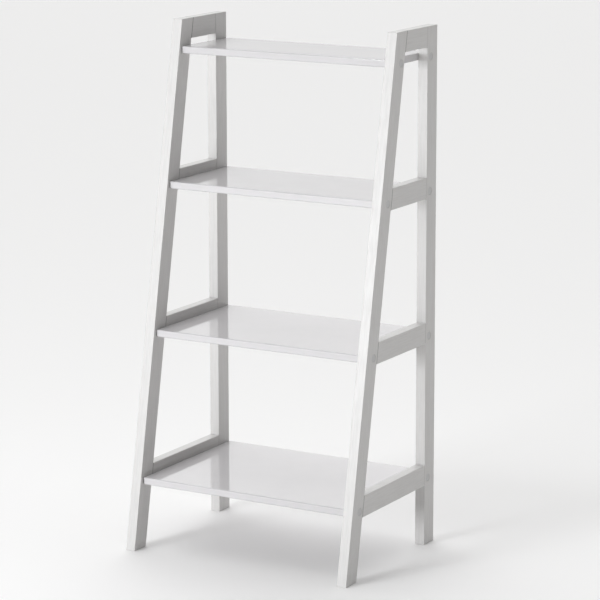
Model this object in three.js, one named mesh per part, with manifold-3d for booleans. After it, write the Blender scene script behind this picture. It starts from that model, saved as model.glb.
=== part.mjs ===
// Four-tier ladder shelf. Two side frames, each a leaning front leg, an upright rear leg and
// four rails, are joined by four boards that are bolted through the legs.
//
// Millimetres. X runs across the width, Y from front to back and Z up. The origin is on the
// floor, midway between the feet. "left" is the -X side, as seen from the front.
import * as THREE from "three";
import { mergeVertices } from "three/addons/utils/BufferGeometryUtils.js";
import Module from "manifold-3d";

const wasm = await Module();
wasm.setup();

// Overall sizes
const OVERALL_WIDTH = 530;
const OVERALL_HEIGHT = 1100;
const FLOOR_DEPTH = 382; // front of the front feet to the back of the rear legs
const TOP_DEPTH = 175; // the same, at the tops of the legs

// Frame members
const FRAME_THICKNESS = 22; // along X
const LEG_WIDTH = 42.5; // square to the leg's own length
const TOP_RAIL_HEIGHT = 43;
const RAIL_HEIGHT = 44;
const RAIL_UPSTAND = 21.5; // how far a side rail stands above its shelf
const FRAME_EDGE_EASE = 0.9;

// Shelves
const SHELF_THICKNESS = 15;
const TOP_SHELF_DROP = 56; // leg tops down to the top shelf's surface
const BOTTOM_SHELF_HEIGHT = 152.5; // floor to the bottom shelf's surface
const SHELF_PITCH = 306.5; // between the surfaces of the three lower shelves
const SHELF_FRONT_SETBACK = 7; // behind the front leg's front face, at the shelf's surface
const SHELF_BACK_SETBACK = 1; // ahead of the rear leg's back face
const SHELF_CORNER_RADIUS = 2.5;
const SHELF_EDGE_EASE = 1.5;

// Connector bolts, which run along X through a leg and into the end of a shelf
const BOLT_FROM_LEG_EDGE = 14.5; // bolt axis to the leg's inner edge, along Y
const BOLT_DIAMETER = 6;
const BOLT_LENGTH = 45; // under the head
const BOLT_TIP_LENGTH = 5;
const BOLT_HEAD_DIAMETER = 13.5;
const BOLT_HEAD_HEIGHT = 2.5;
const SOCKET_ACROSS_FLATS = 4;
const SOCKET_DEPTH = 2.2;

// Cover caps over the bolt heads
const CAP_DIAMETER = 16;
const CAP_THICKNESS = 2;
const CAP_RIM_EASE = 0.5;
const CAP_BELOW_FACE = 0.3;
const CAP_PEG_DIAMETER = 3;
const CAP_PEG_LENGTH = 1.6;

// Dowel pins, which are glued into the ends of each rail
const DOWEL_DIAMETER = 8;
const DOWEL_FROM_RAIL_EDGE = 10; // dowel axis to the rail's top or bottom edge
const DOWEL_TO_BOLT_WALL = 2; // wood left between a dowel's hole and the bolt's hole

// Clearances
const JOINT_GAP = 0.3; // between any two pieces that meet
const HOLE_END_ROOM = 2; // past the end of a bolt or a dowel
const CUT_OVERRUN = 1; // a cutter runs this far past the face that it opens

const CAP_SEGMENTS = 16;
const BOLT_SEGMENTS = 12;
const DOWEL_SEGMENTS = 12;
const CORNER_SEGMENTS = 3;

// The front leg's front face is the line y = FRONT_Y + LEAN * z.
const FRONT_Y = -FLOOR_DEPTH / 2;
const BACK_Y = FLOOR_DEPTH / 2;
const LEAN = (FLOOR_DEPTH - TOP_DEPTH) / OVERALL_HEIGHT;
const LEAN_STRETCH = Math.hypot(1, LEAN); // a width square to the front leg, measured along Y
const REAR_LEG_FRONT_Y = BACK_Y - LEG_WIDTH;

const frontLegFrontY = (z) => FRONT_Y + LEAN * z;
const frontLegBackY = (z) => frontLegFrontY(z) + LEG_WIDTH * LEAN_STRETCH;

// The bolt stack, as distances in from the frame's outer face
const HEAD_OUTER_DEPTH = CAP_BELOW_FACE + CAP_THICKNESS + JOINT_GAP;
const HEAD_INNER_DEPTH = HEAD_OUTER_DEPTH + BOLT_HEAD_HEIGHT;
const COUNTERBORE_DEPTH = HEAD_INNER_DEPTH + JOINT_GAP;
const BOLT_END_DEPTH = HEAD_INNER_DEPTH + BOLT_LENGTH;

const COUNTERBORE_DIAMETER = Math.max(CAP_DIAMETER, BOLT_HEAD_DIAMETER) + 2 * JOINT_GAP;
const BOLT_HOLE_DIAMETER = BOLT_DIAMETER + 2 * JOINT_GAP;
const DOWEL_HOLE_DIAMETER = DOWEL_DIAMETER + 2 * JOINT_GAP;

// A dowel lies midway in the wood behind the counterbore and stops short of the bolt's hole.
const DOWEL_DEPTH_FROM_OUTER = (FRAME_THICKNESS + COUNTERBORE_DEPTH) / 2;
const DOWEL_HOLE_DEPTH = BOLT_FROM_LEG_EDGE - BOLT_HOLE_DIAMETER / 2 - DOWEL_TO_BOLT_WALL;
const DOWEL_LENGTH = DOWEL_HOLE_DEPTH - HOLE_END_ROOM / 2;

// One tier for each shelf: the height of its surface, and its side rail where it has one.
const lowerTier = (name, stepsUp) => ({
  name,
  surface: BOTTOM_SHELF_HEIGHT + stepsUp * SHELF_PITCH,
  hasRail: true,
});
const TIERS = [
  { name: "top", surface: OVERALL_HEIGHT - TOP_SHELF_DROP, hasRail: false },
  lowerTier("upper", 2),
  lowerTier("lower", 1),
  lowerTier("bottom", 0),
];

const RAILS = [
  { name: "top", top: OVERALL_HEIGHT, height: TOP_RAIL_HEIGHT },
  ...TIERS.filter((tier) => tier.hasRail).map((tier) => ({
    name: tier.name,
    top: tier.surface + RAIL_UPSTAND,
    height: RAIL_HEIGHT,
  })),
];

const SIDES = [
  { name: "left", outward: -1 },
  { name: "right", outward: 1 },
];

const LEGS = {
  front: { boltY: (z) => frontLegBackY(z) - BOLT_FROM_LEG_EDGE },
  rear: { boltY: () => REAR_LEG_FRONT_Y + BOLT_FROM_LEG_EDGE },
};

const boltHeight = (tier) => tier.surface - SHELF_THICKNESS / 2;

// Finishes

function framePaint() {
  return new THREE.MeshStandardMaterial({ color: 0xe6e6e4, roughness: 0.42, metalness: 0 });
}

function shelfLacquer() {
  return new THREE.MeshStandardMaterial({ color: 0xe9e8ea, roughness: 0.16, metalness: 0 });
}

function capPlastic() {
  return new THREE.MeshStandardMaterial({ color: 0xdddddb, roughness: 0.5, metalness: 0 });
}

function zincPlate() {
  return new THREE.MeshStandardMaterial({ color: 0xb9bcc0, roughness: 0.35, metalness: 1 });
}

// Solids

// A closed geometry as a solid, welded by position alone.
function toSolid(geometry) {
  const bare = new THREE.BufferGeometry();
  bare.setAttribute("position", geometry.getAttribute("position"));
  bare.setIndex(geometry.getIndex());
  const welded = mergeVertices(bare, 1e-4);
  const mesh = new wasm.Mesh({
    numProp: 3,
    vertProperties: welded.getAttribute("position").array,
    triVerts: new Uint32Array(welded.getIndex().array),
  });
  return new wasm.Manifold(mesh);
}

// A solid as a geometry with one normal to each flat facet.
function toGeometry(solid) {
  const { vertProperties, triVerts } = solid.getMesh();
  const shared = new THREE.BufferGeometry();
  shared.setAttribute("position", new THREE.BufferAttribute(vertProperties, 3));
  shared.setIndex(new THREE.BufferAttribute(triVerts, 1));
  const faceted = shared.toNonIndexed();
  faceted.computeVertexNormals();
  return faceted;
}

const cut = (body, cutters) => cutters.reduce((left, cutter) => left.subtract(toSolid(cutter)), body);
const join = (body, pieces) => pieces.reduce((whole, piece) => whole.add(toSolid(piece)), body);

// A frame member: an outline of [y, z] points, carried along X for the frame's thickness about
// x = 0, with its long edges eased.
function frameMember(outline) {
  const shape = new THREE.Shape(outline.map(([y, z]) => new THREE.Vector2(y, z)));
  const geometry = new THREE.ExtrudeGeometry(shape, {
    depth: FRAME_THICKNESS - 2 * FRAME_EDGE_EASE,
    bevelThickness: FRAME_EDGE_EASE,
    bevelSize: FRAME_EDGE_EASE,
    bevelOffset: -FRAME_EDGE_EASE,
    bevelSegments: 1,
  });
  geometry.translate(0, 0, FRAME_EDGE_EASE - FRAME_THICKNESS / 2);
  const yzx = new THREE.Matrix4().makeBasis(
    new THREE.Vector3(0, 1, 0),
    new THREE.Vector3(0, 0, 1),
    new THREE.Vector3(1, 0, 0),
  );
  return geometry.applyMatrix4(yzx);
}

// A cylinder along X between two values of x.
function cylinderAlongX(diameter, fromX, toX, y, z, segments) {
  const geometry = new THREE.CylinderGeometry(diameter / 2, diameter / 2, Math.abs(toX - fromX), segments);
  geometry.rotateZ(-Math.PI / 2);
  return geometry.translate((fromX + toX) / 2, y, z);
}

// A cylinder along Y between two values of y.
function cylinderAlongY(diameter, x, fromY, toY, z, segments) {
  const geometry = new THREE.CylinderGeometry(diameter / 2, diameter / 2, Math.abs(toY - fromY), segments);
  return geometry.translate(x, (fromY + toY) / 2, z);
}

// Where x lies in a side frame, at a depth in from that frame's outer face.
const frameX = (side, depth) => side.outward * (FRAME_THICKNESS / 2 - depth);

// The heights of the two dowels at each end of a rail.
function dowelHeights(rail) {
  return [rail.top - DOWEL_FROM_RAIL_EDGE, rail.top - rail.height + DOWEL_FROM_RAIL_EDGE];
}

// Cutters for the counterbore and the bolt's hole of one tier.
function boltCutters(side, leg, tier) {
  const z = boltHeight(tier);
  const y = leg.boltY(z);
  const outside = frameX(side, -CUT_OVERRUN);
  const counterboreFloor = frameX(side, COUNTERBORE_DEPTH);
  const inside = frameX(side, FRAME_THICKNESS + CUT_OVERRUN);
  return [
    cylinderAlongX(COUNTERBORE_DIAMETER, outside, counterboreFloor, y, z, CAP_SEGMENTS),
    cylinderAlongX(BOLT_HOLE_DIAMETER, outside, inside, y, z, BOLT_SEGMENTS),
  ];
}

// Cutters for the dowel holes of one rail, in the front leg's back face or the rear leg's front.
function dowelCutters(side, legName, rail) {
  const x = frameX(side, DOWEL_DEPTH_FROM_OUTER);
  return dowelHeights(rail).map((z) => {
    const [mouth, inward] = legName === "front" ? [frontLegBackY(z), -1] : [REAR_LEG_FRONT_Y, 1];
    const outside = mouth - inward * (CUT_OVERRUN + DOWEL_DIAMETER * LEAN);
    return cylinderAlongY(DOWEL_HOLE_DIAMETER, x, outside, mouth + inward * DOWEL_HOLE_DEPTH, z, DOWEL_SEGMENTS);
  });
}

function legOutline(legName) {
  if (legName === "rear") {
    return [
      [REAR_LEG_FRONT_Y, 0],
      [BACK_Y, 0],
      [BACK_Y, OVERALL_HEIGHT],
      [REAR_LEG_FRONT_Y, OVERALL_HEIGHT],
    ];
  }
  return [
    [frontLegFrontY(0), 0],
    [frontLegBackY(0), 0],
    [frontLegBackY(OVERALL_HEIGHT), OVERALL_HEIGHT],
    [frontLegFrontY(OVERALL_HEIGHT), OVERALL_HEIGHT],
  ];
}

function legGeometry(side, legName) {
  const bored = cut(toSolid(frameMember(legOutline(legName))), [
    ...TIERS.flatMap((tier) => boltCutters(side, LEGS[legName], tier)),
    ...RAILS.flatMap((rail) => dowelCutters(side, legName, rail)),
  ]);
  return toGeometry(bored);
}

// A rail fills the space between the two legs, so its front end leans with the front leg.
function railGeometry(side, rail) {
  const bottom = rail.top - rail.height;
  const frontEnd = (z) => frontLegBackY(z) + JOINT_GAP * LEAN_STRETCH;
  const backEnd = REAR_LEG_FRONT_Y - JOINT_GAP;
  const body = toSolid(
    frameMember([
      [frontEnd(bottom), bottom],
      [backEnd, bottom],
      [backEnd, rail.top],
      [frontEnd(rail.top), rail.top],
    ]),
  );
  const x = frameX(side, DOWEL_DEPTH_FROM_OUTER);
  const dowels = dowelHeights(rail).map((z) =>
    cylinderAlongY(
      DOWEL_DIAMETER,
      x,
      frontLegBackY(z) - DOWEL_LENGTH,
      REAR_LEG_FRONT_Y + DOWEL_LENGTH,
      z,
      DOWEL_SEGMENTS,
    ),
  );
  return toGeometry(join(body, dowels));
}

// A rectangle with rounded corners, centred on x = 0.
function boardOutline(width, frontY, backY, radius) {
  const shape = new THREE.Shape();
  const right = width / 2 - radius;
  const front = frontY + radius;
  const back = backY - radius;
  shape.absarc(right, front, radius, -Math.PI / 2, 0);
  shape.absarc(right, back, radius, 0, Math.PI / 2);
  shape.absarc(-right, back, radius, Math.PI / 2, Math.PI);
  shape.absarc(-right, front, radius, Math.PI, 1.5 * Math.PI);
  return shape;
}

const SHELF_WIDTH = OVERALL_WIDTH - 2 * FRAME_THICKNESS - 2 * JOINT_GAP;

// A board with eased edges and a blind hole in each end for every bolt.
function shelfGeometry(tier) {
  const frontY = frontLegFrontY(tier.surface) + SHELF_FRONT_SETBACK;
  const outline = boardOutline(SHELF_WIDTH, frontY, BACK_Y - SHELF_BACK_SETBACK, SHELF_CORNER_RADIUS);
  const board = new THREE.ExtrudeGeometry(outline, {
    depth: SHELF_THICKNESS - 2 * SHELF_EDGE_EASE,
    bevelThickness: SHELF_EDGE_EASE,
    bevelSize: SHELF_EDGE_EASE,
    bevelOffset: -SHELF_EDGE_EASE,
    bevelSegments: 1,
    curveSegments: CORNER_SEGMENTS,
  });
  board.translate(0, 0, tier.surface - SHELF_THICKNESS + SHELF_EDGE_EASE);
  const z = boltHeight(tier);
  const outerFace = OVERALL_WIDTH / 2;
  const cutters = SIDES.flatMap((side) =>
    Object.values(LEGS).map((leg) =>
      cylinderAlongX(
        BOLT_HOLE_DIAMETER,
        side.outward * (SHELF_WIDTH / 2 + CUT_OVERRUN),
        side.outward * (outerFace - BOLT_END_DEPTH - HOLE_END_ROOM),
        leg.boltY(z),
        z,
        BOLT_SEGMENTS,
      ),
    ),
  );
  return toGeometry(cut(toSolid(board), cutters));
}

const lathe = (profile, segments) =>
  new THREE.LatheGeometry(
    profile.map(([radius, y]) => new THREE.Vector2(radius, y)),
    segments,
  );

// A flat-headed connector bolt along Y, with the top of its head at y = 0 and its point below.
function boltGeometry() {
  const radius = BOLT_DIAMETER / 2;
  const headRadius = BOLT_HEAD_DIAMETER / 2;
  const tip = -BOLT_HEAD_HEIGHT - BOLT_LENGTH;
  const turned = lathe(
    [
      [0, tip],
      [radius, tip + BOLT_TIP_LENGTH],
      [radius, -BOLT_HEAD_HEIGHT],
      [headRadius, -BOLT_HEAD_HEIGHT],
      [headRadius, 0],
      [0, 0],
    ],
    BOLT_SEGMENTS,
  );
  const socketRadius = SOCKET_ACROSS_FLATS / Math.sqrt(3);
  const socket = new THREE.CylinderGeometry(socketRadius, socketRadius, SOCKET_DEPTH + CUT_OVERRUN, 6);
  socket.translate(0, (CUT_OVERRUN - SOCKET_DEPTH) / 2, 0);
  return toGeometry(cut(toSolid(turned), [socket]));
}

// A cover cap along Y, with its face at y = 0 and a peg below that enters the bolt's socket.
function capGeometry() {
  const radius = CAP_DIAMETER / 2;
  const pegRadius = CAP_PEG_DIAMETER / 2;
  const turned = lathe(
    [
      [0, -CAP_THICKNESS - CAP_PEG_LENGTH],
      [pegRadius, -CAP_THICKNESS - CAP_PEG_LENGTH],
      [pegRadius, -CAP_THICKNESS],
      [radius, -CAP_THICKNESS],
      [radius, -CAP_RIM_EASE],
      [radius - CAP_RIM_EASE, 0],
      [0, 0],
    ],
    CAP_SEGMENTS,
  );
  return toGeometry(toSolid(turned));
}

// Assembly

function namedMesh(name, geometry, material) {
  const mesh = new THREE.Mesh(geometry, material);
  mesh.name = name;
  return mesh;
}

// A turned piece, placed with its +Y axis pointing out of the frame.
function turnedMesh(name, geometry, material, side, depth, y, z) {
  const mesh = namedMesh(name, geometry, material);
  mesh.position.set(frameX(side, depth), y, z);
  mesh.rotation.z = (-side.outward * Math.PI) / 2;
  return mesh;
}

function fasteners(side, legName, bolt, cap) {
  return TIERS.flatMap((tier) => {
    const z = boltHeight(tier);
    const y = LEGS[legName].boltY(z);
    const stem = `${side.name}_${legName}_${tier.name}`;
    return [
      turnedMesh(`${stem}_bolt`, bolt, zincPlate(), side, HEAD_OUTER_DEPTH, y, z),
      turnedMesh(`${stem}_cap`, cap, capPlastic(), side, CAP_BELOW_FACE, y, z),
    ];
  });
}

function sideFrame(side, bolt, cap) {
  const frame = new THREE.Group();
  frame.position.x = (side.outward * (OVERALL_WIDTH - FRAME_THICKNESS)) / 2;
  for (const legName of Object.keys(LEGS)) {
    frame.add(namedMesh(`${side.name}_${legName}_leg`, legGeometry(side, legName), framePaint()));
    frame.add(...fasteners(side, legName, bolt, cap));
  }
  for (const rail of RAILS) {
    frame.add(namedMesh(`${side.name}_${rail.name}_rail`, railGeometry(side, rail), framePaint()));
  }
  return frame;
}

function shelves() {
  const group = new THREE.Group();
  for (const tier of TIERS) {
    group.add(namedMesh(`${tier.name}_shelf`, shelfGeometry(tier), shelfLacquer()));
  }
  return group;
}

const bolt = boltGeometry();
const cap = capGeometry();
const ladderShelf = new THREE.Group();
ladderShelf.add(...SIDES.map((side) => sideFrame(side, bolt, cap)));
ladderShelf.add(shelves());

export default ladderShelf;
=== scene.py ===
"""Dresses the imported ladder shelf: painted side frames, glossy boards, moulded screw caps and zinc bolts.

Everything is in metres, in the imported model's frame: X runs across the unit, Y from its front to the wall
behind it, and Z up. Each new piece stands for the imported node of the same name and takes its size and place
from that node's box. Surfaces are worked out as whole numpy arrays, and finishes are node trees.
"""

import logging
import math
from collections.abc import Callable, Mapping
from dataclasses import dataclass, field
from enum import Enum
from itertools import product

import bpy
import numpy as np
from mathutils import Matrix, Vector


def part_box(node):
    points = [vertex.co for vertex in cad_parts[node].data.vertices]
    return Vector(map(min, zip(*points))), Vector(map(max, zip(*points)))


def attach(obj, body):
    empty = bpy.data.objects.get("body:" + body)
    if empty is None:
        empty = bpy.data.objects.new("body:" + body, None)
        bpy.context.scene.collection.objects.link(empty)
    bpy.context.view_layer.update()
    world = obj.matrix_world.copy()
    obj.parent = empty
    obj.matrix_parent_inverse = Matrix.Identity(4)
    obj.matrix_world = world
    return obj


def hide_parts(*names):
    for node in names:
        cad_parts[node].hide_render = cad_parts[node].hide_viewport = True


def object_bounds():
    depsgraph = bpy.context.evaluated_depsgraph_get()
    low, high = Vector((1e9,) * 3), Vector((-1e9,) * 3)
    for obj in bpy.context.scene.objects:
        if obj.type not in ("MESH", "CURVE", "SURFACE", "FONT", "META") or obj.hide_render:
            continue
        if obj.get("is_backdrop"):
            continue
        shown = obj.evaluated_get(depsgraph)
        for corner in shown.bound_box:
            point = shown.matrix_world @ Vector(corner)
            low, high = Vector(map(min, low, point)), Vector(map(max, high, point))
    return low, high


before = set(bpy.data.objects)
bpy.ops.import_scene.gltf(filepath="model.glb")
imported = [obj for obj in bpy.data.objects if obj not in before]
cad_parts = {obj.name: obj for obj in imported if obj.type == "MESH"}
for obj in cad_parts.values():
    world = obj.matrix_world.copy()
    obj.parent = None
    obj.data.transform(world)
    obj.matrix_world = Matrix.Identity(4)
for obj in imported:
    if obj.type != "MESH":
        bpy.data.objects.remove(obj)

LOG = logging.getLogger("ladder_shelf")
BODY = "root"

MM = 0.001
HOLD = 0.4 * MM  # a loop this far inside each rounded edge keeps the flat beside it flat
EDGE_STEPS = 5  # facets across a rounded edge
CELL_STEPS = 12  # facets along each side of the square round a hole, so 48 round the hole
TURN_STEPS = 48  # facets round a turned piece
FIRST_CORNER = -0.75 * math.pi  # how far round a hole the first corner of its square lies
MERGE_DIGITS = 7  # points that agree to this many decimal places of a metre are one point

Colour = tuple[float, float, float, float]
Triple = tuple[float, float, float]
Pair = tuple[float, float]
Placing = Callable[[np.ndarray], np.ndarray]


class Side(Enum):
    """The two side frames, named as seen from the front."""

    LEFT = -1
    RIGHT = 1

    @property
    def label(self) -> str:
        """The side's name as the nodes spell it."""
        return self.name.lower()

    @property
    def outward(self) -> int:
        """The sign of X on the side that faces away from the boards."""
        return self.value


class Stand(Enum):
    """The two legs of a side frame."""

    FRONT = "front"
    REAR = "rear"


class Tier(Enum):
    """The four levels of the unit, from the top down."""

    TOP = "top"
    UPPER = "upper"
    LOWER = "lower"
    BOTTOM = "bottom"


class Grain(Enum):
    """The way that a frame member's grain runs."""

    UPRIGHT = "upright"
    LEANING = "leaning"
    LEVEL = "level"


def grey(level: float, warmth: float = 0.0) -> Colour:
    """A near-neutral colour.

    Args:
        level: Its green value, from 0 to 1.
        warmth: How far red rises above that and blue falls below it.

    Returns:
        The colour with an alpha of 1.
    """
    return (level + warmth, level, level - warmth, 1.0)


@dataclass(frozen=True)
class Extent:
    """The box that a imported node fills.

    Attributes:
        low: Its lowest corner.
        high: Its highest corner.
    """

    low: np.ndarray
    high: np.ndarray

    @classmethod
    def of(cls, node: str) -> "Extent":
        """The box of the node of that name."""
        low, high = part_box(node)
        return cls(np.array(low), np.array(high))

    @property
    def size(self) -> np.ndarray:
        """Its size along X, Y and Z."""
        return self.high - self.low

    @property
    def middle(self) -> np.ndarray:
        """Its centre."""
        return (self.low + self.high) / 2


def front_lean(side: Side) -> float:
    """How far a front leg goes back for each metre that it rises.

    Square to its length it is as wide as the rear leg, so a leg of height h and width w fills a depth d where
    lean * h + w * sqrt(1 + lean ** 2) = d, and this is that equation solved for the lean.

    Args:
        side: The frame that the leg is in.

    Returns:
        The lean.
    """
    _, depth, height = Extent.of(f"{side.label}_front_leg").size
    width = Extent.of(f"{side.label}_rear_leg").size[1]
    slack = math.sqrt(height**2 + depth**2 - width**2)
    return float((height * depth - width * slack) / (height**2 - width**2))


# Surfaces


class Skin:
    """A surface in the making: grids of points that are joined wherever they meet."""

    def __init__(self) -> None:
        """Starts with no points."""
        self._points: list[np.ndarray] = []
        self._wear_and_shade: list[np.ndarray] = []
        self._quads: list[np.ndarray] = []
        self._count = 0

    def add_grid(
        self,
        points: np.ndarray,
        wear_and_shade: np.ndarray | float = 0.0,
        closed: bool = False,
        kept: np.ndarray | None = None,
    ) -> None:
        """Adds a grid of points as quads that face along (next column) x (next row).

        Args:
            points: The points, as rows x columns x 3.
            wear_and_shade: How rubbed each point is, from 0 to 1, which on the lacquer is painted shade along
                its edges, or -1 where painted shade darkens a joint; spread to rows x columns.
            closed: Whether the last column joins the first.
            kept: Which quads to keep, as truths in the grid's own shape, or None for all of them.
        """
        rows, columns = points.shape[:2]
        index = np.arange(rows * columns).reshape(rows, columns) + self._count
        if closed:
            index = np.hstack([index, index[:, :1]])
        quads = np.stack([index[:-1, :-1], index[:-1, 1:], index[1:, 1:], index[1:, :-1]], axis=-1)
        self._points.append(points.reshape(-1, 3))
        self._wear_and_shade.append(np.broadcast_to(wear_and_shade, (rows, columns)).reshape(-1))
        self._quads.append(quads.reshape(-1, 4) if kept is None else quads[kept])
        self._count += rows * columns

    def to_mesh(self, name: str, place: Placing) -> bpy.types.Mesh:
        """Joins the grids into one mesh.

        A quad with two neighbouring corners on one point becomes a triangle, a quad that has shrunk to a line
        is dropped, and so is a point that no quad uses.

        Args:
            name: The mesh's name.
            place: Takes the points to the model's frame.

        Returns:
            The mesh, smooth shaded, with the attribute "wear" on its points: how rubbed the edges are, and
            the painted shade along the lacquer's edges and the joints.
        """
        points = np.concatenate(self._points)
        _, first, merged = np.unique(
            np.round(points, MERGE_DIGITS), axis=0, return_index=True, return_inverse=True
        )
        quads = merged.reshape(-1)[np.concatenate(self._quads)]
        pinches = (quads == np.roll(quads, -1, axis=1)).sum(axis=1)
        quads = quads[pinches < 2]
        used, joined = np.unique(quads, return_inverse=True)
        quads = joined.reshape(-1, 4)
        pinched = quads == np.roll(quads, -1, axis=1)
        once = pinched.any(axis=1)
        corners = (pinched[once].argmax(axis=1)[:, None] + np.arange(1, 4)) % 4
        triangles = np.take_along_axis(quads[once], corners, axis=1)
        chosen = first[used]
        mesh = bpy.data.meshes.new(name)
        mesh.from_pydata(place(points[chosen]).tolist(), [], [*quads[~once].tolist(), *triangles.tolist()])
        mesh.shade_smooth()
        worn_and_shaded = mesh.attributes.new("wear_and_shade", "FLOAT", "POINT")
        worn_and_shaded.data.foreach_set("value", np.concatenate(self._wear_and_shade)[chosen].astype(np.float32))
        return mesh


def quarter_turn(steps: int) -> np.ndarray:
    """The angles of a quarter circle that is cut into that many steps, both ends included."""
    return np.linspace(0.0, math.pi / 2, steps + 1)


def full_turn(steps: int) -> np.ndarray:
    """The angles of a circle that is cut into that many steps, from 0, without the last end."""
    return np.linspace(0.0, 2 * math.pi, steps, endpoint=False)


@dataclass(frozen=True)
class Bore:
    """A round hole drilled square into one of a block's flanks, or the far mouth of one that goes through.

    Attributes:
        facing: 1 for the flank on the block's +a side, -1 for the one on its -a side.
        across: The hole's centre on the block's b axis.
        along: The hole's centre on the block's length.
        rings: (radius, depth) of each ring, from the mouth inwards.
        clear: Half the side of the square that the mouth is set in.
    """

    facing: int
    across: float
    along: float
    rings: np.ndarray
    clear: float

    @classmethod
    def drilled(
        cls,
        facing: int,
        centre: Pair,
        steps: list[Pair],
        lip: float,
        clear: float,
    ) -> "Bore":
        """A hole with an eased mouth: a quarter circle turns from the flank into the first wall.

        Args:
            facing: The flank, as 1 or -1.
            centre: The hole's centre, as places across and along.
            steps: (radius, depth) of each corner that follows the mouth, down to the hole's end.
            lip: The radius of the eased mouth.
            clear: Half the side of the square that the mouth is set in.

        Returns:
            The hole.
        """
        turn = quarter_turn(EDGE_STEPS)
        radius = steps[0][0]
        eased = np.column_stack([radius + lip * (1 - np.sin(turn)), lip * (1 - np.cos(turn))])
        rings = np.vstack([[radius + lip + HOLD / 2, 0.0], eased, steps])
        return cls(facing, *centre, rings, clear)


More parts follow.
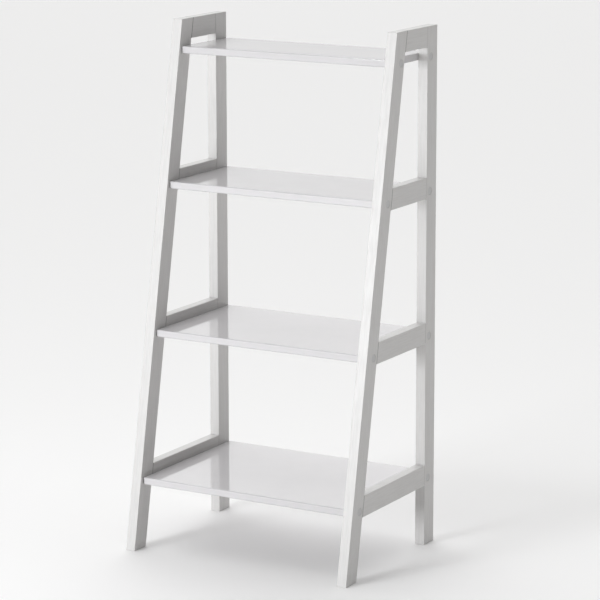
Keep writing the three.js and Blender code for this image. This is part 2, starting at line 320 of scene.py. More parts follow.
@dataclass
class Block:
    """A bar or a board: a rounded section carried along a length, with eased ends and drilled flanks.

    The section lies in the block's own a and b about their origin, and the length runs along c from 0.

    Attributes:
        half_a: Half the section's size along a.
        half_b: Half the section's size along b.
        length: The size along c.
        corner: The radius of the four edges that run along c.
        ease: The radius of the edges round each end.
        bores: The holes in the flanks that face along a.
        lean: How far place() shifts b for each metre of c, which the holes allow for to come out round.
        jointed: Whether its ends are joints, with painted shade darkening their edges in place of rubbing.
    """

    half_a: float
    half_b: float
    length: float
    corner: float
    ease: float
    bores: list[Bore] = field(default_factory=list)
    lean: float = 0.0
    jointed: bool = False

    def _cell(self, bore: Bore) -> tuple[np.ndarray, np.ndarray]:
        """The grid lines of the square that a hole is set in, across it and along it."""
        across = bore.across + np.linspace(-bore.clear, bore.clear, CELL_STEPS + 1)
        along = bore.along + np.linspace(-bore.clear, bore.clear, CELL_STEPS + 1)
        return across.round(MERGE_DIGITS), along.round(MERGE_DIGITS)

    def _outline(self, on_a: np.ndarray, on_b: np.ndarray) -> tuple[np.ndarray, np.ndarray, np.ndarray]:
        """The section's outline, counter-clockwise from the +a flank.

        Each flank is a straight run of grid lines, and each corner an arc whose normal turns from that of one
        flank to that of the next. The mark is greatest midway round an arc: rubbing on the paint, painted
        shade on the lacquer.

        Args:
            on_a: The grid lines on a.
            on_b: The grid lines on b.

        Returns:
            The points, their outward normals, and their marks for rubbing and painted shade.
        """
        turn = quarter_turn(EDGE_STEPS)[1:-1]
        runs = [
            (on_b, self.half_a),
            (-on_a[::-1], self.half_b),
            (-on_b[::-1], self.half_a),
            (on_a, self.half_b),
        ]
        points, normals, wear_and_shade = [], [], []
        out, onward = np.array([1.0, 0.0]), np.array([0.0, 1.0])
        for lines, reach in runs:
            bend = np.outer(np.cos(turn), out) + np.outer(np.sin(turn), onward)
            middle = out * (reach - self.corner) + onward * lines[-1]
            points += [out * reach + np.outer(lines, onward), middle + self.corner * bend]
            normals += [np.tile(out, (len(lines), 1)), bend]
            wear_and_shade += [np.zeros(len(lines)), np.sin(2 * turn)]
            out, onward = onward, -out
        return np.concatenate(points), np.concatenate(normals), np.concatenate(wear_and_shade)

    def _rings(self, on_c: np.ndarray, inmost: float) -> tuple[np.ndarray, np.ndarray, np.ndarray]:
        """The rings along the length: how far each is inset, where it lies on c, and its wear.

        Each end is a flat ring, then a quarter circle that turns from the end's face into the flanks. A mark
        below 0 is painted shade in a joint.

        Args:
            on_c: The grid lines on c between the eased ends.
            inmost: The inset of the flat ring.

        Returns:
            The insets, the places and the marks for rubbing and painted shade.
        """
        turn = quarter_turn(EDGE_STEPS)
        inset = np.array([inmost, *(self.ease * (1 - np.sin(turn)))])
        rise = np.array([0.0, *(self.ease * (1 - np.cos(turn)))])
        # A jointed end is marked -1 all round: painted shade in the joint.
        worn_and_shaded = np.full(len(inset), -1.0) if self.jointed else np.array([0.0, *np.sin(2 * turn)])
        straight = np.zeros(len(on_c))
        insets = np.concatenate([inset, straight, inset[::-1]])
        places = np.concatenate([rise, on_c, self.length - rise[::-1]])
        return insets, places, np.concatenate([worn_and_shaded, straight, worn_and_shaded[::-1]])

    def _bore_grid(self, bore: Bore) -> np.ndarray:
        """A hole's points: the square that is cut from the flank, then each ring, from the mouth inwards.

        A point of the square goes to the point of a ring that lies as far round it, from the same corner.
        """
        across, along = self._cell(bore)
        across = bore.facing * across[:: bore.facing]
        low, high = np.full(CELL_STEPS, 0), np.full(CELL_STEPS, -1)
        forth, back = np.arange(CELL_STEPS), np.arange(CELL_STEPS, 0, -1)
        square_across = across[np.concatenate([forth, high, back, low])]
        square_along = along[np.concatenate([low, forth, high, back])]
        angle = full_turn(4 * CELL_STEPS) + FIRST_CORNER
        radius, depth = bore.rings[:, :1], bore.rings[:, 1:]
        up = radius * np.sin(angle)
        out = radius * np.cos(angle) - bore.facing * self.lean * up
        ring_across = np.vstack([square_across, bore.facing * bore.across + out])
        ring_along = np.vstack([square_along, bore.along + up])
        ring_deep = np.vstack([[0.0], depth]) * np.ones(len(angle))
        return np.stack(
            [bore.facing * (self.half_a - ring_deep), bore.facing * ring_across, ring_along], axis=-1
        )

    def build(self, name: str, place: Placing) -> bpy.types.Mesh:
        """Makes the block's mesh.

        A point of the outline moves inwards along its normal by a ring's inset, and past the corner's radius
        it stops at the inset rectangle, so that the corners close. A rectangle of quads closes each end.

        Args:
            name: The mesh's name.
            place: Takes (a, b, c) points to the model's frame.

        Returns:
            The mesh.
        """
        cells = [self._cell(bore) for bore in self.bores]
        flat_a, flat_b = self.half_a - self.corner, self.half_b - self.corner
        near, far = self.ease + HOLD, self.length - self.ease - HOLD
        on_a = np.array([-flat_a, HOLD - flat_a, flat_a - HOLD, flat_a])
        flank_b = [-flat_b, HOLD - flat_b, flat_b - HOLD, flat_b]
        on_b = np.unique(np.concatenate([flank_b, *(c[0] for c in cells)]))
        on_c = np.unique(np.concatenate([[near, far], *(c[1] for c in cells)]))
        inmost = max(self.corner, self.ease + HOLD)
        outline, normals, corner_wear_and_shade = self._outline(on_a, on_b)
        insets, places, end_wear_and_shade = self._rings(on_c, inmost)
        reach = np.array([self.half_a, self.half_b]) - insets[:, None, None]
        moved = outline - np.minimum(insets, self.corner)[:, None, None] * normals
        section = np.clip(moved, -reach, reach)
        height = np.broadcast_to(places[:, None, None], (*section.shape[:2], 1))
        skin = Skin()
        kept = np.ones((len(places) - 1, len(outline)), bool)
        middle_b = (outline[:, 1] + np.roll(outline[:, 1], -1)) / 2
        middle_c = (places[:-1] + places[1:]) / 2
        for bore, (across, along) in zip(self.bores, cells):
            flank = (normals[:, 0] == bore.facing) & (np.roll(normals[:, 0], -1) == bore.facing)
            within = flank & (middle_b > across[0]) & (middle_b < across[-1])
            kept &= ~np.outer((middle_c > along[0]) & (middle_c < along[-1]), within)
            skin.add_grid(self._bore_grid(bore), closed=True)
        # The stronger mark wins, so a rail's jointed ends carry painted shade.
        ends = end_wear_and_shade[:, None]
        wear_and_shade = np.where(np.abs(ends) > corner_wear_and_shade, ends, corner_wear_and_shade)
        skin.add_grid(np.concatenate([section, height], axis=-1), wear_and_shade, closed=True, kept=kept)
        end_a = np.clip(on_a, inmost - self.half_a, self.half_a - inmost)
        end_b = np.clip(on_b, inmost - self.half_b, self.half_b - inmost)
        for c, order in ((0.0, "ij"), (self.length, "xy")):
            a, b = np.meshgrid(end_a, end_b, indexing=order)
            skin.add_grid(np.stack([a, b, np.full_like(a, c)], axis=-1))
        return skin.to_mesh(name, place)


@dataclass(frozen=True)
class Turning:
    """A solid turned about a line along X.

    Attributes:
        profile: (radius, height) pairs, from the foot of the line out and round to its top.
        wear_and_shade: The wear at each of them.
    """

    profile: np.ndarray
    wear_and_shade: np.ndarray

    def build(self, name: str, centre: np.ndarray, outward: int) -> bpy.types.Mesh:
        """Makes the mesh: each point of the profile goes round the line as a circle.

        Args:
            name: The mesh's name.
            centre: The point on the line where the height is 0.
            outward: The sign of X in which height grows.

        Returns:
            The mesh.
        """
        angle = full_turn(TURN_STEPS) * outward
        radius, height = self.profile[:, :1], self.profile[:, 1:]
        level = outward * height * np.ones(TURN_STEPS)
        skin = Skin()
        rings = np.stack([level, radius * np.cos(angle), radius * np.sin(angle)], axis=-1)
        skin.add_grid(rings, self.wear_and_shade[:, None], closed=True)
        return skin.to_mesh(name, lambda points: points + centre)


# Shader graphs


class Wire:
    """An output socket that can be used in sums: each operator adds its Math node."""

    def __init__(self, graph: "Graph", socket: bpy.types.NodeSocket) -> None:
        """Wraps a socket of a graph."""
        self.graph = graph
        self.socket = socket

    def _sum(self, operation: str, first: "Value", second: "Value") -> "Wire":
        """Adds a Math node.

        Args:
            operation: The node's operation.
            first: Its first value.
            second: Its second value.

        Returns:
            Its result.
        """
        return self.graph.add("ShaderNodeMath", {"operation": operation}, {0: first, 1: second})

    def __add__(self, other: "Value") -> "Wire":
        """This plus another value."""
        return self._sum("ADD", self, other)

    def __radd__(self, other: "Value") -> "Wire":
        """Another value plus this."""
        return self._sum("ADD", other, self)

    def __sub__(self, other: "Value") -> "Wire":
        """This less another value."""
        return self._sum("SUBTRACT", self, other)

    def __rsub__(self, other: "Value") -> "Wire":
        """Another value less this."""
        return self._sum("SUBTRACT", other, self)

    def __mul__(self, other: "Value") -> "Wire":
        """This times another value."""
        return self._sum("MULTIPLY", self, other)

    def __rmul__(self, other: "Value") -> "Wire":
        """Another value times this."""
        return self._sum("MULTIPLY", other, self)


Value = Wire | float | Colour | Triple


class Graph:
    """The node tree of one material, or of the air round the unit."""

    def __init__(self, owner: bpy.types.Material | bpy.types.World) -> None:
        """Starts with the owner's tree, emptied."""
        owner.use_nodes = True
        owner.node_tree.nodes.clear()
        self.owner = owner

    @classmethod
    def of_material(cls, name: str) -> "Graph":
        """The empty tree of a new material of that name."""
        return cls(bpy.data.materials.new(name))

    def add(
        self,
        kind: str,
        settings: Mapping[str, object] | None = None,
        inputs: Mapping[str | int, Value] | None = None,
        output: int | str = 0,
    ) -> Wire:
        """Adds a node, sets it up, then sets or links its inputs.

        Args:
            kind: The node's type.
            settings: The node's own properties.
            inputs: The value or link of each input, by its name or number.
            output: The output to hand back, by its name or number.

        Returns:
            That output.
        """
        node = self.owner.node_tree.nodes.new(kind)
        for name, value in (settings or {}).items():
            setattr(node, name, value)
        for name, value in (inputs or {}).items():
            if isinstance(value, Wire):
                self.owner.node_tree.links.new(value.socket, node.inputs[name])
            else:
                node.inputs[name].default_value = value
        return Wire(self, node.outputs[output] if node.outputs else None)

    def noise(self, scale: Triple, detail: float = 2.0, roughness: float = 0.5, turn: float = 0.0) -> Wire:
        """A noise about a half, read at the piece's own coordinates, turned about X and then scaled.

        Args:
            scale: The number of blots in a metre, along each turned axis.
            detail: How many finer noises are added to it.
            roughness: How strong those are.
            turn: The turn about X, in radians.

        Returns:
            Its value.
        """
        own = self.add("ShaderNodeTexCoord", output="Object")
        turned = self.add("ShaderNodeMapping", {}, {"Vector": own, "Rotation": (turn, 0.0, 0.0)})
        point = self.add("ShaderNodeVectorMath", {"operation": "MULTIPLY"}, {0: turned, 1: scale})
        inputs = {"Vector": point, "Scale": 1.0, "Detail": detail, "Roughness": roughness}
        return self.add("ShaderNodeTexNoise", {"noise_dimensions": "3D"}, inputs)

    def wear_and_shade(self) -> Wire:
        """How rubbed the surface is, and where shade is painted along edges and joints, from the piece's own
        points.
        """
        return self.add("ShaderNodeAttribute", {"attribute_name": "wear_and_shade"}, output="Fac")

    def spread(self, value: Wire, low: float, high: float) -> Wire:
        """Takes a value from between low and high to between 0 and 1, clamped."""
        inputs = {"Value": value, "From Min": low, "From Max": high}
        return self.add("ShaderNodeMapRange", {"clamp": True}, inputs)

    def mix(self, share: Wire, first: Wire | Colour, second: Wire | Colour) -> Wire:
        """A colour between two others.

        Args:
            share: How much of the second colour there is, from 0 to 1.
            first: The first colour.
            second: The second colour.

        Returns:
            The mixed colour.
        """
        return self.add("ShaderNodeMix", {"data_type": "RGBA"}, {0: share, 6: first, 7: second}, output=2)

    def bump(self, height: Wire, distance: float) -> Wire:
        """A normal bent by a height.

        Args:
            height: The height, in units of the distance.
            distance: How far the surface rises for a height of 1, in metres.

        Returns:
            The normal.
        """
        return self.add("ShaderNodeBump", {}, {"Strength": 1.0, "Distance": distance, "Height": height})

    def finish(self, **inputs: Value) -> bpy.types.Material:
        """Adds the surface shader and the output.

        Args:
            **inputs: The shader's inputs by name, with an underscore for each space.

        Returns:
            The material.
        """
        named = {name.replace("_", " "): value for name, value in inputs.items()}
        surface = self.add("ShaderNodeBsdfPrincipled", {}, named)
        self.add("ShaderNodeOutputMaterial", {}, {"Surface": surface})
        return self.owner


# Finishes


def blots(size: float) -> Triple:
    """How many blots of that size lie in a metre, along each axis."""
    return (1 / size, 1 / size, 1 / size)


@dataclass(frozen=True)
class PaintedWood:
    """White satin paint over wood, whose grain shows through as fine lengthwise streaks.

    Attributes:
        slot: The record's material slot.
        paint: The paint where it lies full.
        hollow: The paint in the grain's hollows, where dust has dulled it.
        rubbed: The paint where an edge has been rubbed.
        joint: Painted shade along a joint: a darker colour that stands for the shade in the groove between a
            rail and a leg.
        roughness: The paint's own roughness.
        streak_width: How wide a streak is.
        streak_length: How long a streak is.
        streak_height: How deep the streaks are.
        streak_range: The noise at which a streak starts and is whole.
        stipple_size: The size of the roller's marks.
        stipple_height: How deep those are.
        clouds: How many clouds of thick and thin paint lie in a metre, along each axis.
        ior: The paint's index of refraction.
    """

    slot: str = "frame_paint"
    paint: Colour = grey(0.66, 0.010)
    hollow: Colour = grey(0.58, 0.012)
    rubbed: Colour = grey(0.72, 0.010)
    joint: Colour = grey(0.36, 0.006)
    roughness: float = 0.40
    streak_width: float = 2.2 * MM
    streak_length: float = 45 * MM
    streak_height: float = 0.05 * MM
    streak_range: Pair = (0.42, 0.68)
    stipple_size: float = 0.9 * MM
    stipple_height: float = 0.012 * MM
    clouds: Triple = (9.0, 9.0, 4.0)
    ior: float = 1.47

    def material(self, name: str, turn: float) -> bpy.types.Material:
        """Makes the finish for one direction of grain.

        Args:
            name: The material's name.
            turn: The turn about X that brings the grain upright, in radians.

        Returns:
            The material.
        """
        graph = Graph.of_material(name)
        across, along = 1 / self.streak_width, 1 / self.streak_length
        grain = graph.noise((across, across, along), 3.0, 0.6, turn)
        cloud = graph.noise(self.clouds, turn=turn)
        fine = 1 / self.stipple_size
        stipple = graph.noise((fine, fine, fine / 2), 1.0, turn=turn)
        streak = graph.spread(grain, *self.streak_range)
        colour = graph.mix(streak * (0.25 + 0.5 * cloud), self.paint, self.hollow)
        wear_and_shade = graph.wear_and_shade()
        rub_and_shade = graph.spread(wear_and_shade, 0.0, 1.0) * graph.spread(cloud + 0.5 * grain, 0.55, 1.0)
        # Painted shade: where the mark goes below 0, at a rail's jointed ends, the paint darkens towards the
        # joint colour.
        dust_and_shade = graph.spread(0.0 - wear_and_shade, 0.0, 1.0)
        height = grain * (self.streak_height / MM) + stipple * (self.stipple_height / MM)
        relief = 0.10 * (streak - 0.5) + 0.05 * (stipple - 0.5)
        return graph.finish(
            # The joint colour is painted shade; the rubbed colour is the paint's own rubbed edges.
            Base_Color=graph.mix(0.9 * dust_and_shade, graph.mix(0.6 * rub_and_shade, colour, self.rubbed), self.joint),
            Roughness=self.roughness + relief + 0.3 * dust_and_shade - 0.08 * rub_and_shade,
            Normal=graph.bump(height, MM),
            IOR=self.ior,
        )


@dataclass(frozen=True)
class GlossLacquer:
    """White lacquer, sprayed and cured to a gloss, with a faint orange peel.

    Attributes:
        slot: The record's material slot.
        body: The lacquer's colour.
        thin: Its colour where the film is thinner.
        edge: Its colour along the rounded edges: painted shade that darkens them.
        roughness: Its roughness.
        peel_size: The size of the orange peel's dimples.
        peel_height: How deep those are.
        sag_size: The size of the film's slow waves.
        sag_height: How deep those are.
        specks: How many places for a speck of dust lie in a metre of film, along each axis.
        speck_range: The noise at which a speck starts and is whole.
        ior: Its index of refraction.
    """

    slot: str = "shelf_lacquer"
    body: Colour = (0.668, 0.654, 0.664, 1.0)
    thin: Colour = (0.626, 0.614, 0.624, 1.0)
    edge: Colour = grey(0.38)
    roughness: float = 0.07
    peel_size: float = 3.5 * MM
    peel_height: float = 0.0015 * MM
    sag_size: float = 60 * MM
    sag_height: float = 0.02 * MM
    specks: Triple = (700.0, 700.0, 700.0)
    speck_range: Pair = (0.74, 0.80)
    ior: float = 1.5

    def material(self, name: str) -> bpy.types.Material:
        """Makes the finish.

        Args:
            name: The material's name.

        Returns:
            The material.
        """
        graph = Graph.of_material(name)
        peel = graph.noise(blots(self.peel_size), 1.0)
        sag = graph.noise(blots(self.sag_size))
        dust_and_shade = graph.spread(graph.noise(self.specks, 0.0), *self.speck_range)
        # Painted shade darkens the rounded edges and plan corners, which are also made rougher.
        rub_and_shade = graph.wear_and_shade() * (0.7 + 0.3 * graph.spread(sag, 0.35, 0.65))
        film = graph.mix(0.35 * graph.spread(sag, 0.3, 0.7), self.body, self.thin)
        height = peel * (self.peel_height / MM) + sag * (self.sag_height / MM)
        return graph.finish(
            Base_Color=graph.mix(0.8 * rub_and_shade, film, self.edge),
            Roughness=self.roughness + 0.03 * (sag - 0.5) + 0.10 * dust_and_shade + 0.60 * rub_and_shade,
            Normal=graph.bump(height, MM),
            IOR=self.ior,
        )


@dataclass(frozen=True)
class MouldedPlastic:
    """White moulded plastic with a fine spark-eroded texture.

    Attributes:
        slot: The record's material slot.
        body: The plastic's colour.
        shaded: Its colour in the texture's hollows.
        roughness: Its roughness.
        texture_size: The size of the texture's grains.
        texture_height: How deep the texture is.
        flow: How many streaks of the moulding's flow lie in a metre, along each axis.
        ior: Its index of refraction.
    """

    slot: str = "cap_plastic"
    body: Colour = grey(0.62, 0.002)
    shaded: Colour = grey(0.54, 0.002)
    roughness: float = 0.48
    texture_size: float = 0.25 * MM
    texture_height: float = 0.012 * MM
    flow: Triple = (260.0, 90.0, 260.0)
    ior: float = 1.49

    def material(self, name: str) -> bpy.types.Material:
        """Makes the finish.

        Args:
            name: The material's name.

        Returns:
            The material.
        """
        graph = Graph.of_material(name)
        texture = graph.noise(blots(self.texture_size))
        flow = graph.noise(self.flow)
        pit = graph.spread(texture, 0.35, 0.65)
        return graph.finish(
            Base_Color=graph.mix(0.6 * pit + 0.3 * flow, self.body, self.shaded),
            Roughness=self.roughness + 0.08 * (pit - 0.5) - 0.12 * graph.wear_and_shade(),
            Normal=graph.bump(texture, self.texture_height),
            IOR=self.ior,
        )


@dataclass(frozen=True)
class ZincPlate:
    """Bright zinc over turned steel, with a cloudy passivation and fine tool marks.

    Attributes:
        slot: The record's material slot.
        bright: The plating where it is clear.
        clouded: The plating where it has hazed.
        roughness: Its roughness.
        haze: How many clouds of haze lie in a metre, along each axis.
        marks: How many tool marks lie in a metre, along each axis.
        mark_height: How deep those are.
    """

    slot: str = "zinc_plate"
    bright: Colour = (0.66, 0.67, 0.70, 1.0)
    clouded: Colour = (0.50, 0.53, 0.56, 1.0)
    roughness: float = 0.28
    haze: Triple = (350.0, 350.0, 350.0)
    marks: Triple = (6000.0, 400.0, 400.0)
    mark_height: float = 0.01 * MM

    def material(self, name: str) -> bpy.types.Material:
        """Makes the finish.

        Args:
            name: The material's name.

        Returns:
            The material.
        """
        graph = Graph.of_material(name)
        haze = graph.spread(graph.noise(self.haze, 3.0), 0.35, 0.65)
        marks = graph.noise(self.marks, 1.0)
        return graph.finish(
            Base_Color=graph.mix(haze, self.bright, self.clouded),
            Roughness=self.roughness + 0.22 * haze + 0.08 * marks,
            Metallic=1.0,
            Normal=graph.bump(marks, self.mark_height),
        )


@dataclass(frozen=True)
class StudioPaper:
    """A pale matt floor covering with a faint fibre.

    Attributes:
        sheet: Its colour.
        fibre: The colour of its fibres.
        fibres: How many of those lie in a metre, along each axis.
    """

    sheet: Colour = grey(0.95, 0.004)
    fibre: Colour = grey(0.93, 0.004)
    fibres: Triple = (300.0, 300.0, 300.0)

    def material(self, name: str) -> bpy.types.Material:
        """Makes the finish.

        Args:
            name: The material's name.

        Returns:
            The material.
        """
        graph = Graph.of_material(name)
        fibre = graph.noise(self.fibres)
        return graph.finish(
            Base_Color=graph.mix(fibre, self.sheet, self.fibre),
            Roughness=0.75 + 0.1 * fibre,
            Specular_IOR_Level=0.2,
        )


@dataclass(frozen=True)
class StudioWall:
    """An even, pale wall, lit from within.

    Attributes:
        pale: Its colour.
    """

    pale: Colour = grey(0.82)

    def material(self, name: str) -> bpy.types.Material:
        """The finish, under that name."""
        graph = Graph.of_material(name)
        return graph.finish(Base_Color=grey(0.0), Emission_Color=self.pale, Emission_Strength=1.0)


# Sub-assemblies


def add_object(name: str, data: bpy.types.ID) -> bpy.types.Object:
    """Puts a mesh, a light or a camera into the scene.

    Args:
        name: The new object's name.
        data: What it holds.

    Returns:
        The object.
    """
    thing = bpy.data.objects.new(name, data)
    bpy.context.scene.collection.objects.link(thing)
    return thing


def show(mesh: bpy.types.Mesh, node: str, material: bpy.types.Material) -> None:
    """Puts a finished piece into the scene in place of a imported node.

    Args:
        mesh: The piece's mesh, in the model's frame and named as the piece.
        node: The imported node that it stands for.
        material: Its finish.
    """
    mesh.materials.append(material)
    piece = add_object(mesh.name, mesh)
    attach(piece, BODY)
    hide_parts(node)
    LOG.info("%s: %d faces, for %s", piece.name, len(mesh.polygons), node)


@dataclass(frozen=True)
class Screw:
    """One connector bolt, which goes through a leg into the end of a board, and the cap over its head.

    Attributes:
        side: The frame that it is in.
        stand: The leg that it goes through.
        tier: The board that it holds.
    """

    side: Side
    stand: Stand
    tier: Tier

    GAP = 0.3 * MM  # round the cap, round the shank and under the head
    LIP = 0.3 * MM  # the eased mouth of each hole
    SHANK_RADIUS = 3.0 * MM
    HEAD_HEIGHT = 2.5 * MM
    END_ROOM = 2.0 * MM  # past the bolt's point
    LEG_CLEAR = 12.0 * MM
    BOARD_CLEAR = 5.4 * MM

    @property
    def stem(self) -> str:
        """The start of the names of its nodes."""
        return f"{self.side.label}_{self.stand.value}_{self.tier.value}"

    @property
    def cap(self) -> Extent:
        """The box of its cap."""
        return Extent.of(f"{self.stem}_cap")

    @property
    def bolt(self) -> Extent:
        """The box of its bolt."""
        return Extent.of(f"{self.stem}_bolt")

    def outermost(self, extent: Extent) -> float:
        """How far from the middle of the unit the outer end of a box lies."""
        return max(abs(extent.low[0]), abs(extent.high[0]))

    def leg_bores(self, leg: Extent, centre: Pair) -> list[Bore]:
        """The hole through a leg: wide for the cap and the head, then narrow for the shank.

        Args:
            leg: The box of the leg.
            centre: The hole's centre on the leg's flank, as places across and along.

        Returns:
            The hole from the outer flank, and its far mouth in the inner flank.
        """
        wide = self.cap.size[2] / 2 + self.GAP
        narrow = self.SHANK_RADIUS + self.GAP
        floor = self.outermost(leg) - self.outermost(self.bolt) + self.HEAD_HEIGHT + self.GAP
        steps = [
            (wide, floor - HOLD),
            (wide, floor),
            (narrow + HOLD, floor),
            (narrow, floor),
            (narrow, floor + HOLD),
            (narrow, leg.size[0] - HOLD),
            (narrow, leg.size[0]),
        ]
        outer = Bore.drilled(self.side.outward, centre, steps, self.LIP, self.LEG_CLEAR)
        mouth = np.array([[narrow + HOLD, 0.0], [narrow, 0.0]])
        return [outer, Bore(-self.side.outward, *centre, mouth, self.LEG_CLEAR)]

    def board_bore(self, board: Extent) -> Bore:
        """The blind hole in the end of a board, with a drill point's cone at its end.

        Args:
            board: The box of the board.

        Returns:
            The hole.
        """
        radius = self.SHANK_RADIUS + self.GAP
        point = min(abs(self.bolt.low[0]), abs(self.bolt.high[0]))
        depth = board.size[0] / 2 - point + self.END_ROOM
        centre = (self.cap.middle[1] - board.middle[1], self.cap.middle[2] - board.low[2])
        steps = [
            (radius, depth - HOLD),
            (radius, depth),
            (radius - HOLD, depth + HOLD / 2),
            (0.0, depth + radius / 2),
        ]
        return Bore.drilled(self.side.outward, centre, steps, self.LIP, self.BOARD_CLEAR)


@dataclass
class SideFrame:
    """One painted side frame: a leaning front leg, an upright rear leg and the four rails between them.

    Attributes:
        side: Which of the two it is.
        slot: The record's material slot of its paint. Not used.
        paints: The paint for each way that the grain runs.
        edge: The radius of its eased edges.
        gap: The joint between a rail and a leg.
    """

    side: Side
    slot: str
    paints: dict[Grain, bpy.types.Material]
    edge: float = 0.9 * MM
    gap: float = 0.3 * MM

    def leg(self, stand: Stand) -> Extent:
        """The box of one of its legs."""
        return Extent.of(f"{self.side.label}_{stand.value}_leg")

    def leg_depth(self, stand: Stand) -> float:
        """A leg's size along Y at any one height."""
        lean = front_lean(self.side) if stand is Stand.FRONT else 0.0
        return self.leg(Stand.REAR).size[1] * math.hypot(1.0, lean)

    def build_leg(self, stand: Stand) -> None:
        """Makes a leg: a level section that is carried upwards, and back as it rises in the front leg.

        Args:
            stand: Which leg.
        """
        box = self.leg(stand)
        depth = self.leg_depth(stand)
        lean = front_lean(self.side) if stand is Stand.FRONT else 0.0
        foot = np.array([box.middle[0], box.low[1] + depth / 2, box.low[2]])

        def place(points: np.ndarray) -> np.ndarray:
            """Moves the section's centre to the foot, and back by the lean at each height."""
            back = lean * points[:, 2]
            return foot + points + np.outer(back, [0.0, 1.0, 0.0])

        screws = [Screw(self.side, stand, tier) for tier in Tier]
        centres = np.array([screw.cap.middle[1:] for screw in screws]) - foot[1:]
        across = float(np.mean(centres[:, 0] - lean * centres[:, 1]))
        bores = []
        for screw, (_, height) in zip(screws, centres):
            bores += screw.leg_bores(box, (across, float(height)))
        block = Block(box.size[0] / 2, depth / 2, box.size[2], self.edge, self.edge, bores, lean)
        node = f"{self.side.label}_{stand.value}_leg"
        paint = self.paints[Grain.LEANING if stand is Stand.FRONT else Grain.UPRIGHT]
        show(block.build(f"{node}_painted", place), node, paint)

    def build_rail(self, tier: Tier) -> None:
        """Makes a rail: an upright section that is carried back, with its front end along the front leg.

        Args:
            tier: Which rail.
        """
        node = f"{self.side.label}_{tier.value}_rail"
        box = Extent.of(node)
        front, rear = self.leg(Stand.FRONT), self.leg(Stand.REAR)
        lean = front_lean(self.side)
        middle = box.middle[2]
        start = front.low[1] + lean * middle + self.leg_depth(Stand.FRONT) + self.gap * math.hypot(1.0, lean)
        length = rear.low[1] - self.gap - start
        centre = np.array([box.middle[0], start, middle])

        def place(points: np.ndarray) -> np.ndarray:
            """Turns a up, b across and c back, and leans the front end less and less towards the rear one."""
            up, over, along = points.T
            back = along + lean * up * (1 - along / length)
            return centre + np.column_stack([over, back, up])

        block = Block(box.size[2] / 2, box.size[0] / 2, length, self.edge, self.edge, jointed=True)
        show(block.build(f"{node}_painted", place), node, self.paints[Grain.LEVEL])

    def build(self) -> None:
        """Makes both legs and all the rails."""
        for stand in Stand:
            self.build_leg(stand)
        for tier in Tier:
            self.build_rail(tier)


@dataclass
class Boards:
    """The four lacquered boards.

    Attributes:
        slot: The record's material slot of their lacquer. Not used.
        lacquer: Their finish.
        corner: The radius of their four corners.
        edge: The radius of their edges, above and below.
    """

    slot: str
    lacquer: bpy.types.Material
    corner: float = 2.5 * MM
    edge: float = 1.5 * MM

    def build_board(self, tier: Tier) -> None:
        """Makes a board: its plan with rounded corners, carried up for its thickness.

        Args:
            tier: Which board.
        """
        node = f"{tier.value}_shelf"
        box = Extent.of(node)
        foot = np.array([*box.middle[:2], box.low[2]])
        bores = [Screw(side, stand, tier).board_bore(box) for side in Side for stand in Stand]
        block = Block(*(box.size[:2] / 2), box.size[2], self.corner, self.edge, bores)
        show(block.build(f"{node}_lacquered", lambda points: foot + points), node, self.lacquer)

    def build(self) -> None:
        """Makes all four."""
        for tier in Tier:
            self.build_board(tier)


@dataclass
class Fixings:
    """The connector bolts and the caps that cover their heads.

    Attributes:
        cap_slot: The record's material slot of the caps. Not used.
        plastic: The caps' finish.
        bolt_slot: The record's material slot of the bolts. Not used.
        zinc: The bolts' finish.
        thickness: The thickness of a cap's disc.
        rim: The radius of its eased rim.
        crown: How far its face rises from the rim to the middle.
        peg_radius: The radius of the peg behind it.
        peg_ease: The slope at the peg's end.
    """

    cap_slot: str
    plastic: bpy.types.Material
    bolt_slot: str
    zinc: bpy.types.Material
    thickness: float = 2.0 * MM
    rim: float = 0.5 * MM
    crown: float = 0.12 * MM
    peg_radius: float = 1.5 * MM
    peg_ease: float = 0.3 * MM

    def cap_turning(self, box: Extent) -> Turning:
        """A cap's profile: a peg, a flat back, a wall, a quarter-round rim and a parabola for the face.

        Args:
            box: The cap's box.

        Returns:
            The turning, with the middle of the face at a height of 0.
        """
        radius = box.size[2] / 2
        turn = quarter_turn(EDGE_STEPS)
        foot, back = -box.size[0], -self.thickness
        shoulder, flat = -self.crown - self.rim, radius - self.rim
        under = [
            (0.0, foot),
            (self.peg_radius - self.peg_ease, foot),
            (self.peg_radius, foot + self.peg_ease),
            (self.peg_radius, back - HOLD / 2),
            (self.peg_radius, back),
            (self.peg_radius + HOLD / 2, back),
            (radius - HOLD / 2, back),
            (radius, back + HOLD / 2),
        ]
        rim = np.column_stack([flat + self.rim * np.cos(turn), shoulder + self.rim * np.sin(turn)])
        share = np.linspace(1.0, 0.0, EDGE_STEPS + 1)[1:]
        face = np.column_stack([flat * share, -self.crown * share**2])
        wear_and_shade = np.concatenate([np.zeros(len(under)), np.sin(2 * turn), np.zeros(len(face))])
        return Turning(np.vstack([under, rim, face]), wear_and_shade)

    def build(self) -> None:
        """Makes each cap, and gives each packed bolt its plating."""
        for place in product(Side, Stand, Tier):
            self.build_pair(Screw(*place))

    def build_pair(self, screw: Screw) -> None:
        """Makes one cap, and plates the bolt behind it.

        Args:
            screw: The bolt.
        """
        box = screw.cap
        node = f"{screw.stem}_cap"
        centre = np.array([screw.side.outward * screw.outermost(box), *box.middle[1:]])
        cap = self.cap_turning(box).build(f"{node}_moulded", centre, screw.side.outward)
        show(cap, node, self.plastic)
        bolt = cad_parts[f"{screw.stem}_bolt"]
        bolt.data.materials.clear()
        bolt.data.materials.append(self.zinc)
        LOG.info("%s: plated", bolt.name)


# The studio


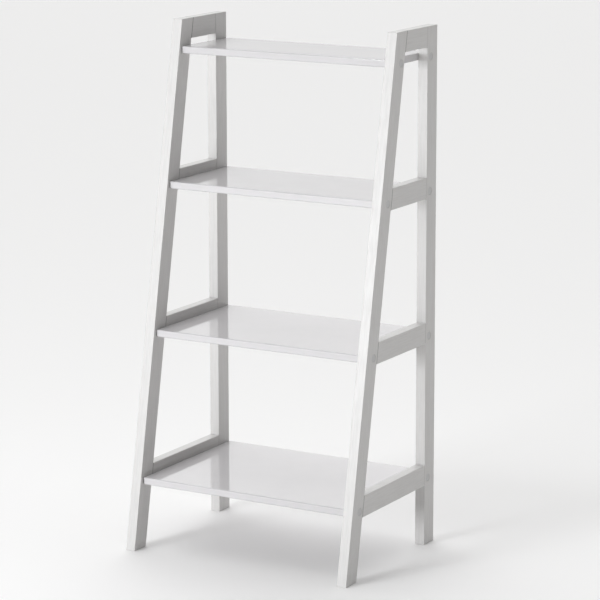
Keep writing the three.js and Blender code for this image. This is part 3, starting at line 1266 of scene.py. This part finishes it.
@dataclass(frozen=True)
class Stance:
    """Where something stands round the unit, facing it.

    Attributes:
        azimuth: How far round it is, in degrees: 0 in front of the unit, 90 on its right.
        elevation: How high above the horizon it is, in degrees.
        distance: How far away it is.
    """

    azimuth: float
    elevation: float
    distance: float = 1.0

    @property
    def away(self) -> Vector:
        """The way to it from the point that it faces, with a length of 1."""
        round_it, above = math.radians(self.azimuth), math.radians(self.elevation)
        level = math.cos(above)
        return Vector((math.sin(round_it) * level, -math.cos(round_it) * level, math.sin(above)))

    def set_up(self, name: str, data: bpy.types.ID, target: Vector) -> bpy.types.Object:
        """Puts a light or a camera there, facing the target.

        Args:
            name: Its name.
            data: The light or the camera.
            target: The point that it faces.

        Returns:
            Its object.
        """
        stand = add_object(name, data)
        stand.location = target + self.away * self.distance
        stand.rotation_euler = (-self.away).to_track_quat("-Z", "Y").to_euler()
        LOG.info("%s: %.2f m away", name, self.distance)
        return stand


@dataclass(frozen=True)
class SoftBox:
    """A flat, even light that faces the unit's middle.

    Attributes:
        name: What it is for.
        stance: Where it stands.
        size: Its width and height.
        power: Its power, in watts.
        tint: Its colour.
    """

    name: str
    stance: Stance
    size: Pair
    power: float
    tint: Triple

    def build(self, target: Vector) -> None:
        """Sets the light up, facing the target.

        Args:
            target: The point that it faces.
        """
        lamp = bpy.data.lights.new(self.name, "AREA")
        lamp.shape = "RECTANGLE"
        lamp.size, lamp.size_y = self.size
        lamp.energy = self.power
        lamp.color = self.tint
        self.stance.set_up(self.name, lamp, target)


@dataclass(frozen=True)
class Glow:
    """A soft patch of light in the air, brightest in its middle.

    Attributes:
        name: What it is for.
        stance: Where its middle is.
        reach: How far it reaches from there, in degrees.
        strength: How bright its middle is.
    """

    name: str
    stance: Stance
    reach: float
    strength: float

    def add_to(self, graph: Graph, ray: Wire) -> Wire:
        """Adds its brightness along a ray: a smooth step of the cosine between the ray and its middle.

        Args:
            graph: The air's graph.
            ray: The ray's direction.

        Returns:
            The brightness.
        """
        LOG.info("%s: %.2f at most", self.name, self.strength)
        between = {0: ray, 1: tuple(self.stance.away)}
        cosine = graph.add("ShaderNodeVectorMath", {"operation": "DOT_PRODUCT"}, between, "Value")
        step = {"interpolation_type": "SMOOTHSTEP", "clamp": True}
        rim = math.cos(math.radians(self.reach))
        inputs = {"Value": cosine, "From Min": rim, "From Max": 1.0, "To Max": self.strength}
        return graph.add("ShaderNodeMapRange", step, inputs)


@dataclass(frozen=True)
class Camera:
    """The view of the unit from its front right, from above.

    Attributes:
        stance: Where it stands.
        aim: The point that it faces, from the middle of the unit.
        lens: Its focal length, in millimetres.
        shift: How far the view is moved over the sensor, as shares of its width.
    """

    stance: Stance = Stance(29.57, 11.52, 5.7393)
    aim: Triple = (0.0767, 0.0499, 0.0272)
    lens: float = 165.83
    shift: Pair = (-0.0394, -0.0381)

    def build(self, middle: Vector) -> None:
        """Makes the scene's camera.

        Args:
            middle: The middle of the unit.
        """
        data = bpy.data.cameras.new("camera")
        data.lens = self.lens
        data.shift_x, data.shift_y = self.shift
        bpy.context.scene.camera = self.stance.set_up("camera", data, middle + Vector(self.aim))


@dataclass(frozen=True)
class Studio:
    """The pale floor and wall, the soft lights and the camera.

    Attributes:
        paper: The floor's finish.
        wall: The wall's finish.
        reach: The floor's radius.
        below: How far under the feet the floor lies.
        wall_height: How high the wall is.
        key: The light that throws the shadows.
        glows: The soft patches of light in the air.
        ambience: How bright the air is outside those.
    """

    paper: StudioPaper = StudioPaper()
    wall: StudioWall = StudioWall()
    reach: float = 30.0
    below: float = 0.1 * MM
    wall_height: float = 4.5
    key: SoftBox = SoftBox("key", Stance(-20.0, 8.5, 4.6), (1.2, 0.8), 96.0, (0.96, 0.98, 1.0))
    glows: tuple[Glow, ...] = (
        Glow("front", Stance(-31.0, 21.0), 22.0, 2.7),
        Glow("overhead", Stance(215.0, 73.0), 74.0, 1.24),
        Glow("backdrop", Stance(216.0, 28.0), 36.0, 1.12),
        Glow("side", Stance(105.0, 14.0), 20.0, 1.0),
    )
    ambience: float = 0.02

    def _rings(self, name: str, rings: list[Pair], material: bpy.types.Material) -> bpy.types.Object:
        """Makes a surface of level circles about the unit, each joined to the next.

        Args:
            name: The surface's name.
            rings: The radius and the level of each circle.
            material: Its finish.

        Returns:
            Its object.
        """
        radius, level = np.array(rings).T[:, :, None]
        angle = full_turn(TURN_STEPS)
        points = [radius * np.cos(angle), radius * np.sin(angle), level * np.ones(TURN_STEPS)]
        skin = Skin()
        skin.add_grid(np.stack(points, axis=-1), closed=True)
        mesh = skin.to_mesh(name, lambda points: points)
        mesh.materials.append(material)
        return add_object(name, mesh)

    def build_floor(self) -> None:
        """Makes the floor: rings from its rim to its middle, on the level."""
        rings = [(radius, -self.below) for radius in (self.reach, self.reach / 4, 1.0, 0.0)]
        floor = self._rings("floor", rings, self.paper.material("studio_paper"))
        floor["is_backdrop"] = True

    def build_wall(self) -> None:
        """Makes the wall on the floor's rim: it closes off low views and sheds no light on matt things."""
        rings = [(self.reach, level) for level in (-self.below, self.wall_height)]
        wall = self._rings("wall", rings, self.wall.material("studio_wall"))
        wall.visible_diffuse = False
        wall.visible_shadow = False
        wall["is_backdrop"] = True

    def build_air(self) -> None:
        """Lights the air round the unit."""
        world = bpy.data.worlds.new("studio_air")
        graph = Graph(world)
        ray = graph.add("ShaderNodeTexCoord", output="Generated")
        brightness: Value = self.ambience
        for glow in self.glows:
            brightness = brightness + glow.add_to(graph, ray)
        air = graph.add("ShaderNodeBackground", {}, {"Color": grey(1.0), "Strength": brightness})
        graph.add("ShaderNodeOutputWorld", {}, {"Surface": air})
        bpy.context.scene.world = world

    def build(self, middle: Vector) -> None:
        """Makes it all round the unit.

        Args:
            middle: The middle of the unit.
        """
        bpy.context.scene.view_settings.view_transform = "Standard"
        Camera().build(middle)
        self.build_floor()
        self.build_wall()
        self.build_air()
        self.key.build(middle)


def main() -> None:
    """Builds the studio and every piece, in order."""
    logging.basicConfig(level=logging.INFO, format="%(message)s")
    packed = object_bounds()
    middle = (packed[0] + packed[1]) / 2
    Studio().build(middle)
    paint = PaintedWood()
    turns = {
        Grain.UPRIGHT: 0.0,
        Grain.LEANING: math.atan(front_lean(Side.LEFT)),
        Grain.LEVEL: math.pi / 2,
    }
    paints = {grain: paint.material(f"paint_{grain.value}", turn) for grain, turn in turns.items()}
    for side in Side:
        SideFrame(side, paint.slot, paints).build()
    lacquer = GlossLacquer()
    Boards(lacquer.slot, lacquer.material("gloss_lacquer")).build()
    plastic, zinc = MouldedPlastic(), ZincPlate()
    Fixings(plastic.slot, plastic.material("moulded_plastic"), zinc.slot, zinc.material("zinc_plate")).build()


if __name__ == "__main__":
    main()
